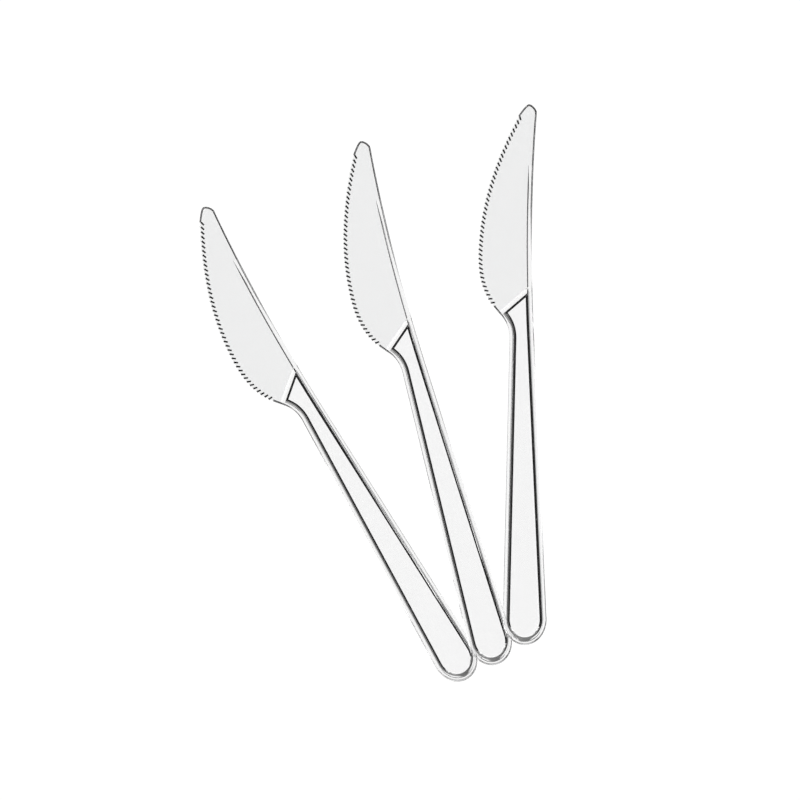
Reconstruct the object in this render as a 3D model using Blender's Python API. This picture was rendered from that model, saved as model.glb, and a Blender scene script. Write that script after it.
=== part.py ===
"""Three clear plastic knives, fanned out on a table with the ends of their handles on one another.

Each knife is one moulded piece. Its upper side is flat from the handle's end to the tip. Underneath,
the handle is a channel with a wall all round, the blade is a thin web with teeth along one edge, and
the wall at the back of the handle runs on along the blade as a rib that dies out towards the tip.
"""

import math

import bmesh
import bpy
from mathutils import Matrix, Vector

MM = 0.001

# Plan of one knife. The origin is the middle of the handle's end, +Y the tip and +X the blade's back.
HANDLE_LENGTH = 107.4 * MM
HANDLE_END_WIDTH = 15.4 * MM
HANDLE_END_ROUND = 9.0 * MM
NECK_WIDTH = 8.7 * MM
NECK_OFFSET = 1.4 * MM
NECK_TO_HEEL = 11.2 * MM
HEEL_WIDTH = 13.9 * MM
HEEL_TO_BELLY = 17.3 * MM
BLADE_WIDTH = 19.0 * MM
BELLY_TO_TIP = 54.1 * MM
TIP_BACK_X = 3.65 * MM
TIP_ROUND = 3.0 * MM
TIP_TOP_X = 0.9 * MM
TIP_CORNER_X = -0.1 * MM
TOE_X = -2.9 * MM
TOE_LENGTH = 3.9 * MM
BACK_HOLLOW = 1.3 * MM

# Depths and walls of the handle.
DEPTH = 3.4 * MM
PLATE = 1.2 * MM
RIM_WALL = 1.3 * MM
ROOT_WALL = 2.4 * MM
END_ROOT_WALL = 3.2 * MM
ROOT_SLOPE = math.radians(42)
SIDE_BEND = 1.2
END_BEND = 1.03
EDGE_ROUND = 0.12 * MM
EDGE_BEVEL = 0.2 * MM
END_BEVEL = 0.45 * MM
FRONT_REACH = 15.8 * MM
FRONT_SLANT = math.radians(41)
FRONT_BEAD = 0.65 * MM
FRONT_FOOT = 1.4 * MM
FRONT_RAMP = 0.5 * MM

# The blade.
WEB = 1.1 * MM
BLADE_TAPER = 0.025
TOOTH_PITCH = 1.64 * MM
TOOTH_DEPTH = 0.3 * MM
TOOTH_ROUND = 0.08 * MM
RIB_WIDTH = 1.3 * MM
RIB_ROOT = 1.85 * MM
RIB_TO_TIP = 21.6 * MM
EDGE_BEAD = 0.5 * MM
EDGE_BEAD_LEAST = 0.06 * MM
EDGE_BEAD_REACH = (64 * MM, 34 * MM)

# How far each curve is drawn out at its ends, as shares of the run or the width that it crosses.
TIP_PULL = (0.4, 0.8)
TIP_LEAD = (0.52, 0.34)
BELLY_PULL = (0.31, 0.45)
HEEL_PULL = (0.23, 0.22)
FLARE_PULL = (0.18, 0.29)
NECK_PULL = 0.54

# The fan: where each handle ends, from the middle knife's end, and how far the knife is turned.
FAN = {
    "knife_left": (Vector((-10.2 * MM, -5.2 * MM)), math.radians(29.5)),
    "knife_middle": (Vector((0.0, 0.0)), math.radians(14.8)),
    "knife_right": (Vector((9.7 * MM, 7.0 * MM)), math.radians(-0.3)),
}
RESTING_GAP = 0.3 * MM

# How finely the curves are cut, and how far a cutter runs past what it cuts.
END_STEPS = 20
CURVE_STEPS = 8
COVE_STEPS = 4
ROUND_STEPS = 2
BEYOND = 4 * MM
RIM_SAMPLE = 1 * MM

# Positions that follow from the sizes above.
HEEL_Y = HANDLE_LENGTH + NECK_TO_HEEL
BELLY_Y = HEEL_Y + HEEL_TO_BELLY
TIP_Y = BELLY_Y + BELLY_TO_TIP
RIB_END_Y = TIP_Y - RIB_TO_TIP
NECK_BACK = Vector((NECK_WIDTH / 2 - NECK_OFFSET, HANDLE_LENGTH))
NECK_EDGE = Vector((-NECK_WIDTH / 2 - NECK_OFFSET, HANDLE_LENGTH))
TIP_TOP = Vector((TIP_TOP_X, TIP_Y))
TIP_BACK = Vector((TIP_BACK_X, TIP_Y - TIP_ROUND))
TIP_EDGE = Vector((TOE_X, TIP_Y - TOE_LENGTH))
FRONT_POINT = NECK_BACK + Vector((-ROOT_WALL, FRONT_REACH))
FRONT_AHEAD = Vector((-math.sin(FRONT_SLANT), math.cos(FRONT_SLANT)))
FOOT_Y = HANDLE_LENGTH + FRONT_REACH + FRONT_FOOT
FRONT_ACROSS = Vector((FRONT_AHEAD.y, -FRONT_AHEAD.x))
BLADE_START = FRONT_POINT + FRONT_AHEAD * (FRONT_BEAD + FRONT_FOOT)
WEB_UNDER = DEPTH - WEB
TIP_UNDER = WEB_UNDER - EDGE_BEAD / 2
ROOF = DEPTH - PLATE
RIB_SLOPE = WEB_UNDER / (RIB_END_Y - FOOT_Y)


def bezier(start, start_pull, end_pull, end, steps):
    """Points of a cubic curve from start to just before end."""
    points = []
    for index in range(steps):
        t = index / steps
        s = 1 - t
        points.append(start * s**3 + start_pull * 3 * s * s * t + end_pull * 3 * s * t * t + end * t**3)
    return points


def back_curve():
    """The back of the blade, from the neck to the tip's corner."""
    rise = (TIP_BACK.y - NECK_BACK.y) / 3
    low = NECK_BACK + Vector((-BACK_HOLLOW, rise))
    high = Vector((low.x, TIP_BACK.y - rise))
    return bezier(NECK_BACK, low, high, TIP_BACK, CURVE_STEPS)


def back_x(y):
    """Where the blade's back lies at a distance from the handle's end."""
    points = back_curve() + [TIP_BACK]
    for low, high in zip(points, points[1:]):
        if y <= high.y:
            return low.x + (high.x - low.x) * (y - low.y) / (high.y - low.y)
    return TIP_BACK.x


def edge_lead():
    """Way that the cutting edge sets off from the tip, as far as its curve is drawn out."""
    return Vector((-TIP_LEAD[0] * BLADE_WIDTH, -TIP_LEAD[1] * BELLY_TO_TIP))


def tip_curve():
    """The tip, from its round back corner over its short flat top to the end of its plain toe."""
    points = []
    places = (TIP_BACK, TIP_TOP, TIP_EDGE)
    corners = (Vector((TIP_BACK_X, TIP_Y)), Vector((TIP_CORNER_X, TIP_Y)))
    for start, corner, end, pull in zip(places, corners, places[1:], TIP_PULL):
        points += bezier(start, start.lerp(corner, pull), end.lerp(corner, pull), end, CURVE_STEPS // 2)
    return points


def heel_point():
    """Where the teeth end and the neck begins."""
    return Vector((back_x(HEEL_Y) - HEEL_WIDTH, HEEL_Y))


def edge_curve():
    """The line of the cutting edge, from the tip's corner over the belly to the heel."""
    belly = Vector((back_x(BELLY_Y) - BLADE_WIDTH, BELLY_Y))
    heel = heel_point()
    run = TIP_EDGE.y - belly.y
    drop = belly.y - heel.y
    turn = heel + Vector((-HEEL_PULL[0] * HEEL_WIDTH, HEEL_PULL[1] * drop))
    above = belly + Vector((0, BELLY_PULL[0] * run))
    below = belly - Vector((0, BELLY_PULL[1] * drop))
    fine = 4 * CURVE_STEPS
    upper = bezier(TIP_EDGE, TIP_EDGE + edge_lead(), above, belly, fine)
    return upper + bezier(belly, below, turn, heel, fine) + [heel]


def flare_curve():
    """The hollow curve from the heel down to the neck."""
    heel = heel_point()
    leave = heel + Vector((FLARE_PULL[0] * HEEL_WIDTH, -FLARE_PULL[1] * NECK_TO_HEEL))
    arrive = NECK_EDGE + Vector((0, NECK_PULL * NECK_TO_HEEL))
    return bezier(heel, leave, arrive, NECK_EDGE, CURVE_STEPS) + [NECK_EDGE]


def end_curve(side, end):
    """The half ellipse round the handle's end, inside a wall of these thicknesses."""
    half = HANDLE_END_WIDTH / 2 - side
    points = []
    for index in range(END_STEPS + 1):
        angle = math.pi + math.pi * index / END_STEPS
        points.append(Vector((half * math.cos(angle),
                              HANDLE_END_ROUND + (HANDLE_END_ROUND - end) * math.sin(angle))))
    return points


def even_steps(line, pitch):
    """The same line with its points a whole number of equal steps apart, each about a pitch long."""
    lengths = [0.0]
    for low, high in zip(line, line[1:]):
        lengths.append(lengths[-1] + (high - low).length)
    count = max(2, round(lengths[-1] / pitch))
    points = []
    part = 0
    for index in range(count + 1):
        along = lengths[-1] * index / count
        while part < len(line) - 2 and lengths[part + 1] < along:
            part += 1
        share = (along - lengths[part]) / (lengths[part + 1] - lengths[part])
        points.append(line[part].lerp(line[part + 1], share))
    return points


def left_of(along):
    """Unit direction to the left of a direction in plan."""
    return Vector((-along.y, along.x)).normalized()


def moved_in(line, reach):
    """An open line moved to its left by a reach."""
    points = []
    for index, point in enumerate(line):
        along = line[min(index + 1, len(line) - 1)] - line[max(index - 1, 0)]
        points.append(point + left_of(along) * reach)
    return points


def toothed_edge():
    """The cutting edge, with a root between each two teeth."""
    tips = even_steps(edge_curve(), TOOTH_PITCH)
    line = []
    for low, high in zip(tips, tips[1:]):
        line += [low, (low + high) / 2 + left_of(high - low) * TOOTH_DEPTH]
    return line + [tips[-1]]


def knife_outline():
    """Plan of the knife, anticlockwise from the neck.

    Each point comes with the rounding of the upper edge and the width of the lower edge's bevel there.
    """
    outline = [(point, EDGE_ROUND, EDGE_BEVEL) for point in back_curve() + tip_curve()]
    outline += [(point, TOOTH_ROUND, TOOTH_ROUND) for point in toothed_edge()]
    outline += [(point, EDGE_ROUND, EDGE_BEVEL) for point in flare_curve()[1:]]
    for point in end_curve(0, 0):
        share = max(0.0, 1 - point.y / HANDLE_END_ROUND)
        outline.append((point, EDGE_ROUND, EDGE_BEVEL + (END_BEVEL - EDGE_BEVEL) * share))
    return outline


def handle_rim():
    """The handle's outer edge in small steps, from the neck round the end and back to the neck."""
    return even_steps([NECK_EDGE] + end_curve(0, 0) + [NECK_BACK], RIM_SAMPLE)


def level(points, height):
    """Points of a plan raised to a height."""
    return [Vector((point.x, point.y, height)) for point in points]


def loft(name, loops):
    """A closed solid through loops that all have the same number of points."""
    bm = bmesh.new()
    rings = [[bm.verts.new(point) for point in loop] for loop in loops]
    for below, above in zip(rings, rings[1:]):
        for index in range(len(below)):
            after = (index + 1) % len(below)
            bm.faces.new((below[index], below[after], above[after], above[index]))
    bm.faces.new(rings[0])
    bm.faces.new(rings[-1])
    bmesh.ops.recalc_face_normals(bm, faces=bm.faces)
    mesh = bpy.data.meshes.new(name)
    bm.to_mesh(mesh)
    bm.free()
    return bpy.data.objects.new(name, mesh)


def blank():
    """The knife's whole outline at full depth, with its upper edge rounded and its lower edge bevelled."""
    outline = knife_outline()
    ahead = outline[1:] + outline[:1]
    behind = outline[-1:] + outline[:-1]
    inward = [left_of(after[0] - before[0]) for before, after in zip(behind, ahead)]
    rings = [[(point + into * bevel).to_3d() for (point, _, bevel), into in zip(outline, inward)],
             [Vector((*point, bevel * math.tan(ROOT_SLOPE))) for point, _, bevel in outline]]
    for step in range(ROUND_STEPS + 1):
        angle = math.pi / 2 * step / ROUND_STEPS
        ring = []
        for (point, size, _), into in zip(outline, inward):
            place = point + into * size * (1 - math.cos(angle))
            ring.append(Vector((*place, DEPTH - size * (1 - math.sin(angle)))))
        rings.append(ring)
    return loft("knife_blank", rings)


def trim(body, point, normal):
    """Take away what lies on a plane's front side, and close the cut."""
    bm = bmesh.new()
    bm.from_mesh(body.data)
    cut = bmesh.ops.bisect_plane(bm, geom=bm.verts[:] + bm.edges[:] + bm.faces[:],
                                 plane_co=point, plane_no=normal, clear_outer=True)
    edges = [item for item in cut["geom_cut"] if isinstance(item, bmesh.types.BMEdge)]
    bmesh.ops.edgeloop_fill(bm, edges=edges)
    bmesh.ops.recalc_face_normals(bm, faces=bm.faces)
    bm.to_mesh(body.data)
    bm.free()


def channel_plan(side, end):
    """Plan of the handle's hollow inside a wall of these thicknesses, run on past its front."""
    ahead = HANDLE_LENGTH + FRONT_REACH + BEYOND
    back = [NECK_BACK - Vector((side, 0)), Vector((back_x(ahead) - side, ahead))]
    return back + moved_in(flare_curve(), side) + end_curve(side, end)


def root_depth(rim, root, bend):
    """Distance below its root at which a wall has its plain thickness."""
    return bend * (root - rim) * math.tan(ROOT_SLOPE)


def wall(rim, root, bend, below):
    """Thickness of a wall, at a distance below its root, that widens in a hollow curve to the root."""
    return rim + (root - rim) * max(0.0, 1 - below / root_depth(rim, root, bend))**bend


def under(x):
    """Height of the blade's underside, which rises towards the cutting edge."""
    return WEB_UNDER + BLADE_TAPER * (TIP_BACK_X - x)


def channel_cutter():
    """The hollow under the handle, whose walls widen in a hollow curve to the plate."""
    loops = [level(channel_plan(RIM_WALL, RIM_WALL), -BEYOND)]
    depth = root_depth(RIM_WALL, END_ROOT_WALL, END_BEND)
    for step in range(COVE_STEPS + 1):
        below = depth * (1 - step / COVE_STEPS)
        side = wall(RIM_WALL, ROOT_WALL, SIDE_BEND, below)
        end = wall(RIM_WALL, END_ROOT_WALL, END_BEND, below)
        loops.append(level(channel_plan(side, end), ROOF - below))
    body = loft("channel_cutter", loops)
    trim(body, (FRONT_POINT + FRONT_AHEAD * FRONT_BEAD).to_3d(), FRONT_AHEAD.to_3d())
    return body


def relief_cutter():
    """What goes from under the blade, up to its web, between the rib and a steep ramp at the front wall."""
    start = HANDLE_LENGTH - BEYOND
    right = TIP_BACK.x + BEYOND
    left = back_x(BELLY_Y) - BLADE_WIDTH - BEYOND
    around = [Vector((right, RIB_END_Y)), Vector((right, TIP_Y + BEYOND)),
              Vector((left, TIP_Y + BEYOND)), Vector((left, start))]
    loops = []
    for below in (WEB_UNDER + BEYOND, root_depth(RIB_WIDTH, RIB_ROOT, SIDE_BEND), 0):
        thickness = wall(RIB_WIDTH, RIB_ROOT, SIDE_BEND, below)
        rib = []
        for step in range(CURVE_STEPS + 1):
            y = start + (RIB_END_Y - start) * step / CURVE_STEPS
            rib.append(Vector((back_x(y) - thickness, y)))
        loops.append([Vector((*point, under(point.x) - below)) for point in rib + around])
    body = loft("relief_cutter", loops)
    trim(body, BLADE_START.to_3d(), Vector((*(-FRONT_AHEAD * WEB_UNDER), FRONT_RAMP)))
    return body


def rib_cutter():
    """A wedge under the rib, which leaves it at full depth by the handle and flush where it ends."""
    section = [(FOOT_Y - BEYOND, -RIB_SLOPE * BEYOND), (FOOT_Y - BEYOND, -BEYOND), (RIB_END_Y, -BEYOND),
               (RIB_END_Y, WEB_UNDER)]
    sides = (back_x(BELLY_Y) - BLADE_WIDTH - BEYOND, TIP_BACK.x + BEYOND)
    return loft("rib_cutter", [[Vector((x, y, z)) for y, z in section] for x in sides])


def bead(name, line, widths):
    """A three-cornered bead under a surface, half as deep as it is wide, to the left of a line."""
    rings = []
    for index, (point, width) in enumerate(zip(line, widths)):
        along = line[min(index + 1, len(line) - 1)] - line[max(index - 1, 0)]
        across = left_of(along).to_3d()
        profile = ((0, EDGE_ROUND), (0, 0), (width / 2, -width / 2), (width, 0), (width, EDGE_ROUND))
        rings.append([point + across * offset + Vector((0, 0, rise)) for offset, rise in profile])
    return loft(name, rings)


def bead_width(y):
    """Width of the bead under the blade's back at a distance from the handle's end."""
    near, far = (TIP_Y - reach for reach in EDGE_BEAD_REACH)
    share = min(1.0, max(0.0, (y - near) / (far - near)))
    return EDGE_BEAD_LEAST + (EDGE_BEAD - EDGE_BEAD_LEAST) * share


def edge_bead():
    """The bead along the blade's back and round its tip, which dwindles towards the handle."""
    line = [point for point in back_curve() if point.y > FOOT_Y] + tip_curve() + [TIP_EDGE]
    line = moved_in(line, TOOTH_ROUND / 8)
    places = []
    for point in line:
        rise = RIB_SLOPE * max(0.0, RIB_END_Y - point.y)
        places.append(Vector((*point, under(point.x) - rise)))
    return bead("edge_bead", places, [bead_width(point.y) for point in line])


def front_bead():
    """The bead under the plate along the front wall, from one side wall to the other."""
    start = FRONT_POINT + FRONT_AHEAD * (FRONT_BEAD - TOOTH_ROUND / 8)
    ends = (start + FRONT_ACROSS * RIM_WALL / 2, start - FRONT_ACROSS * (front_width() + RIM_WALL / 2))
    line = [Vector((*end, ROOF)) for end in ends]
    return bead("front_bead", line, [FRONT_BEAD] * len(line))


def front_width():
    """Length of the front wall between the side walls, in plan."""
    reach = 0.0
    side = moved_in(flare_curve(), ROOT_WALL)
    for low, high in zip(side, side[1:]):
        ahead = [(point - FRONT_POINT).dot(FRONT_AHEAD) for point in (low, high)]
        if min(ahead) <= 0 < max(ahead):
            place = low.lerp(high, ahead[0] / (ahead[0] - ahead[1]))
            reach = max(reach, (FRONT_POINT - place).dot(FRONT_ACROSS))
    return reach


def knife_mesh():
    """One knife: the blank with its hollow and its thin blade cut out, and its beads added."""
    scene = bpy.context.scene
    body = blank()
    scene.collection.objects.link(body)
    steps = [(channel_cutter(), "DIFFERENCE"), (relief_cutter(), "DIFFERENCE"), (rib_cutter(), "DIFFERENCE"),
             (edge_bead(), "UNION"), (front_bead(), "UNION")]
    for other, operation in steps:
        scene.collection.objects.link(other)
        change = body.modifiers.new(other.name, "BOOLEAN")
        change.operation = operation
        change.solver = "EXACT"
        change.object = other
    depsgraph = bpy.context.evaluated_depsgraph_get()
    mesh = bpy.data.meshes.new_from_object(body.evaluated_get(depsgraph))
    for spent in [other for other, _ in steps] + [body]:
        bpy.data.objects.remove(spent)
    mesh.name = "knife"
    mesh.shade_smooth()
    mesh.set_sharp_from_angle(angle=math.radians(30))
    return mesh


def clear_plastic():
    """Colourless clear moulded plastic."""
    material = bpy.data.materials.new("clear_plastic")
    material.use_nodes = True
    shader = material.node_tree.nodes["Principled BSDF"]
    shader.inputs["Base Color"].default_value = (0.93, 0.94, 0.94, 1)
    shader.inputs["Roughness"].default_value = 0.05
    shader.inputs["Metallic"].default_value = 0
    shader.inputs["IOR"].default_value = 1.59
    shader.inputs["Transmission Weight"].default_value = 1
    return material


def inside(point, plan):
    """Whether a point lies inside a closed line."""
    found = False
    for low, high in zip(plan, plan[1:] + plan[:1]):
        if (low.y > point.y) != (high.y > point.y):
            if point.x < low.x + (high.x - low.x) * (point.y - low.y) / (high.y - low.y):
                found = not found
    return found


def in_plan(place, points):
    """Points of a knife's own plan, as they lie on the table."""
    return [(place @ Vector((point.x, point.y, 0))).to_2d() for point in points]


def placed(end, turn, slope, height):
    """Matrix of a knife whose handle's end is at a height and that slopes down towards its tip."""
    tilt = Matrix.Rotation(-math.atan(slope), 4, "X")
    return Matrix.Translation((end.x, end.y, height)) @ Matrix.Rotation(turn, 4, "Z") @ tilt


def lie_on(below, end, turn):
    """Matrix of a knife whose handle lies across the one below, and whose front comes down to the table.

    It comes down on the foot of its front wall, or on its tip where that is reached first.
    """
    flat = placed(end, turn, 0, 0)
    own_rim = in_plan(flat, handle_rim())
    other_rim = in_plan(below, handle_rim())
    shared = [point for point in own_rim if inside(point, other_rim)]
    shared += [point for point in other_rim if inside(point, own_rim)]
    top = below @ Matrix.Translation((0, 0, DEPTH))
    up = top.to_3x3() @ Vector((0, 0, 1))
    slope = 0.0
    for point in shared:
        y = (flat.inverted() @ point.to_3d()).y
        rise = top.translation.z + RESTING_GAP
        rise -= (up.x * (point.x - top.translation.x) + up.y * (point.y - top.translation.y)) / up.z
        slope = max(slope, min(rise / (FOOT_Y - y), (rise + TIP_UNDER) / (TIP_Y - y)))
    height = max(slope * FOOT_Y, slope * TIP_Y - TIP_UNDER)
    return placed(end, turn, slope, height)


def main():
    """Make the knives and centre the fan over the origin."""
    for old in list(bpy.data.objects):
        bpy.data.objects.remove(old)
    mesh = knife_mesh()
    mesh.materials.append(clear_plastic())
    knives = []
    for name, (end, turn) in FAN.items():
        place = lie_on(knives[-1].matrix_world, end, turn) if knives else placed(end, turn, 0, 0)
        knife = bpy.data.objects.new(name, mesh)
        knife.matrix_world = place
        bpy.context.scene.collection.objects.link(knife)
        knives.append(knife)
    corners = [knife.matrix_world @ vertex.co for knife in knives for vertex in mesh.vertices]
    low = Vector([min(corner[axis] for corner in corners) for axis in range(3)])
    high = Vector([max(corner[axis] for corner in corners) for axis in range(3)])
    centre = (low + high) / 2
    for knife in knives:
        knife.matrix_world = Matrix.Translation((-centre.x, -centre.y, -low.z)) @ knife.matrix_world


main()
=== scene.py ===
"""Clear plastic table knives, fanned out on a white table and seen from straight above.

Every knife is one clear moulding with a flat upper side. Its handle is hollow below, its blade is a
thin web with slanted ridges under its teeth, and a rib runs along the back of the blade. The knives are
lit as clear things are: a white table behind them, and dark cards round it that their edges pick up.
"""

from __future__ import annotations

import logging
import math
from dataclasses import dataclass, field, replace
from enum import Enum

import bmesh
import bpy
import numpy as np
from mathutils import Matrix, Vector


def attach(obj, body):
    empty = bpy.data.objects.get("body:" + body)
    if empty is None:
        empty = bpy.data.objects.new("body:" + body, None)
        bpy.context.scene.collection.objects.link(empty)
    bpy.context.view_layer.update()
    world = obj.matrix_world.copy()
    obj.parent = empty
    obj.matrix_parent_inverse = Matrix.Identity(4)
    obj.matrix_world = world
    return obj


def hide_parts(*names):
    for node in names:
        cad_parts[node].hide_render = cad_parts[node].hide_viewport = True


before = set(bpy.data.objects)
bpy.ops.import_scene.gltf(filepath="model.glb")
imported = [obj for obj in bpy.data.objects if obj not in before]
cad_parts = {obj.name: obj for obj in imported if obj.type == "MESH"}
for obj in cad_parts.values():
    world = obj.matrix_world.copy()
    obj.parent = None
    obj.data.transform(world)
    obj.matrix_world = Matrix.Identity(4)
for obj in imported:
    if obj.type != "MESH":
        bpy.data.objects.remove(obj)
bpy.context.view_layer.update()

MM = 0.001
BODY = "root"
SOLID_TIP_STEPS = 4
SOLID_END_BEVEL = 0.45 * MM
HAIR = 3e-5
MERGE_WITHIN = 0.002 * MM
SHARP_FROM = math.radians(12)
LEVEL_WITHIN = math.radians(10.5)
ON_WEB_WITHIN = 0.03 * MM

Join = tuple[bpy.types.Node, str | int, bpy.types.Node, str | int]

log = logging.getLogger("knives")


class CutSide(Enum):
    """Which side of a plane is taken away."""

    FRONT = 1
    BACK = -1


@dataclass(frozen=True)
class Fineness:
    """Steps in which the moulding's curves are cut, and how far a cutter reaches beyond it."""

    end: int = 72
    curve: int = 32
    tip: int = 16
    straight: int = 8
    cove: int = 16
    edge_round: int = 4
    tooth: int = 4
    beyond: float = 4 * MM


@dataclass(frozen=True)
class KnifePlan:
    """Plan of one knife, with the origin at the handle's end, +Y to the tip and +X to the blade's back."""

    handle_length: float = 107.4 * MM
    end_width: float = 15.4 * MM
    end_round: float = 9.0 * MM
    neck_width: float = 8.7 * MM
    neck_offset: float = 1.4 * MM
    neck_to_heel: float = 11.2 * MM
    heel_width: float = 13.9 * MM
    heel_to_belly: float = 17.3 * MM
    blade_width: float = 19.0 * MM
    belly_to_tip: float = 54.1 * MM
    tip_back_x: float = 3.65 * MM
    tip_round: float = 3.0 * MM
    tip_top_x: float = 0.9 * MM
    tip_corner_x: float = -0.1 * MM
    toe_x: float = -2.9 * MM
    toe_length: float = 3.9 * MM
    back_hollow: float = 1.3 * MM
    tip_pull: tuple[float, float] = (0.4, 0.8)
    tip_lead: tuple[float, float] = (0.52, 0.34)
    belly_pull: tuple[float, float] = (0.31, 0.45)
    heel_pull: tuple[float, float] = (0.23, 0.22)
    flare_pull: tuple[float, float] = (0.18, 0.29)
    neck_pull: float = 0.54
    fineness: Fineness = field(default_factory=Fineness)

    @property
    def heel_y(self) -> float:
        """Distance of the heel from the handle's end."""
        return self.handle_length + self.neck_to_heel

    @property
    def belly_y(self) -> float:
        """Distance of the blade's widest place from the handle's end."""
        return self.heel_y + self.heel_to_belly

    @property
    def tip_y(self) -> float:
        """The knife's whole length."""
        return self.belly_y + self.belly_to_tip

    @property
    def neck_back(self) -> Vector:
        """The neck's point on the side of the blade's back."""
        return Vector((self.neck_width / 2 - self.neck_offset, self.handle_length))

    @property
    def neck_edge(self) -> Vector:
        """The neck's point on the side of the cutting edge."""
        return Vector((-self.neck_width / 2 - self.neck_offset, self.handle_length))

    @property
    def tip_top(self) -> Vector:
        """The foremost point."""
        return Vector((self.tip_top_x, self.tip_y))

    @property
    def tip_back(self) -> Vector:
        """The tip's corner at the blade's back."""
        return Vector((self.tip_back_x, self.tip_y - self.tip_round))

    @property
    def tip_edge(self) -> Vector:
        """Where the plain toe of the cutting edge ends and its teeth begin."""
        return Vector((self.toe_x, self.tip_y - self.toe_length))

    def back_curve(self) -> list[Vector]:
        """The blade's back, from the neck to just before the tip's corner.

        Returns:
            Its points.
        """
        rise = (self.tip_back.y - self.neck_back.y) / 3
        low = self.neck_back + Vector((-self.back_hollow, rise))
        high = Vector((low.x, self.tip_back.y - rise))
        return bezier(self.neck_back, low, high, self.tip_back, self.fineness.curve)

    def back_x(self, y: float) -> float:
        """Where the blade's back lies.

        Args:
            y: Distance from the handle's end.

        Returns:
            The place across the knife.
        """
        points = self.back_curve() + [self.tip_back]
        return float(np.interp(y, [point.y for point in points], [point.x for point in points]))

    def edge_lead(self) -> Vector:
        """Way that the cutting edge sets off from the tip, as far as its curve is drawn out."""
        return Vector((-self.tip_lead[0] * self.blade_width, -self.tip_lead[1] * self.belly_to_tip))

    def tip_curve(self) -> list[Vector]:
        """The tip, from its round back corner over its short flat top to the end of its plain toe.

        Returns:
            Its points.
        """
        points = []
        places = (self.tip_back, self.tip_top, self.tip_edge)
        corners = (Vector((self.tip_back_x, self.tip_y)), Vector((self.tip_corner_x, self.tip_y)))
        for start, corner, end, pull in zip(places, corners, places[1:], self.tip_pull):
            points += bezier(start, start.lerp(corner, pull), end.lerp(corner, pull), end, self.fineness.tip)
        return points

    def edge_curve(self) -> list[Vector]:
        """The cutting edge's line, from the tip's corner over the belly to the heel.

        Returns:
            Its points.
        """
        belly = Vector((self.back_x(self.belly_y) - self.blade_width, self.belly_y))
        heel = Vector((self.back_x(self.heel_y) - self.heel_width, self.heel_y))
        run = self.tip_edge.y - belly.y
        drop = belly.y - heel.y
        turn = heel + Vector((-self.heel_pull[0] * self.heel_width, self.heel_pull[1] * drop))
        above = belly + Vector((0, self.belly_pull[0] * run))
        below = belly - Vector((0, self.belly_pull[1] * drop))
        upper = bezier(self.tip_edge, self.tip_edge + self.edge_lead(), above, belly, self.fineness.curve)
        return upper + bezier(belly, below, turn, heel, self.fineness.curve) + [heel]

    def flare_curve(self) -> list[Vector]:
        """The hollow curve from the heel down to the neck.

        Returns:
            Its points.
        """
        heel = self.edge_curve()[-1]
        leave = heel + Vector((self.flare_pull[0] * self.heel_width, -self.flare_pull[1] * self.neck_to_heel))
        arrive = self.neck_edge + Vector((0, self.neck_pull * self.neck_to_heel))
        return bezier(heel, leave, arrive, self.neck_edge, self.fineness.curve) + [self.neck_edge]

    def end_curve(self, side: float = 0.0, end: float = 0.0) -> list[Vector]:
        """The half ellipse round the handle's end.

        Args:
            side: Thickness of the wall left outside it at the sides.
            end: Thickness of the wall left outside it at the end.

        Returns:
            Its points, from the side of the cutting edge to the side of the back.
        """
        half = self.end_width / 2 - side
        depth = self.end_round - end
        points = []
        for index in range(self.fineness.end + 1):
            angle = math.pi + math.pi * index / self.fineness.end
            points.append(Vector((half * math.cos(angle), self.end_round + depth * math.sin(angle))))
        return points


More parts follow.
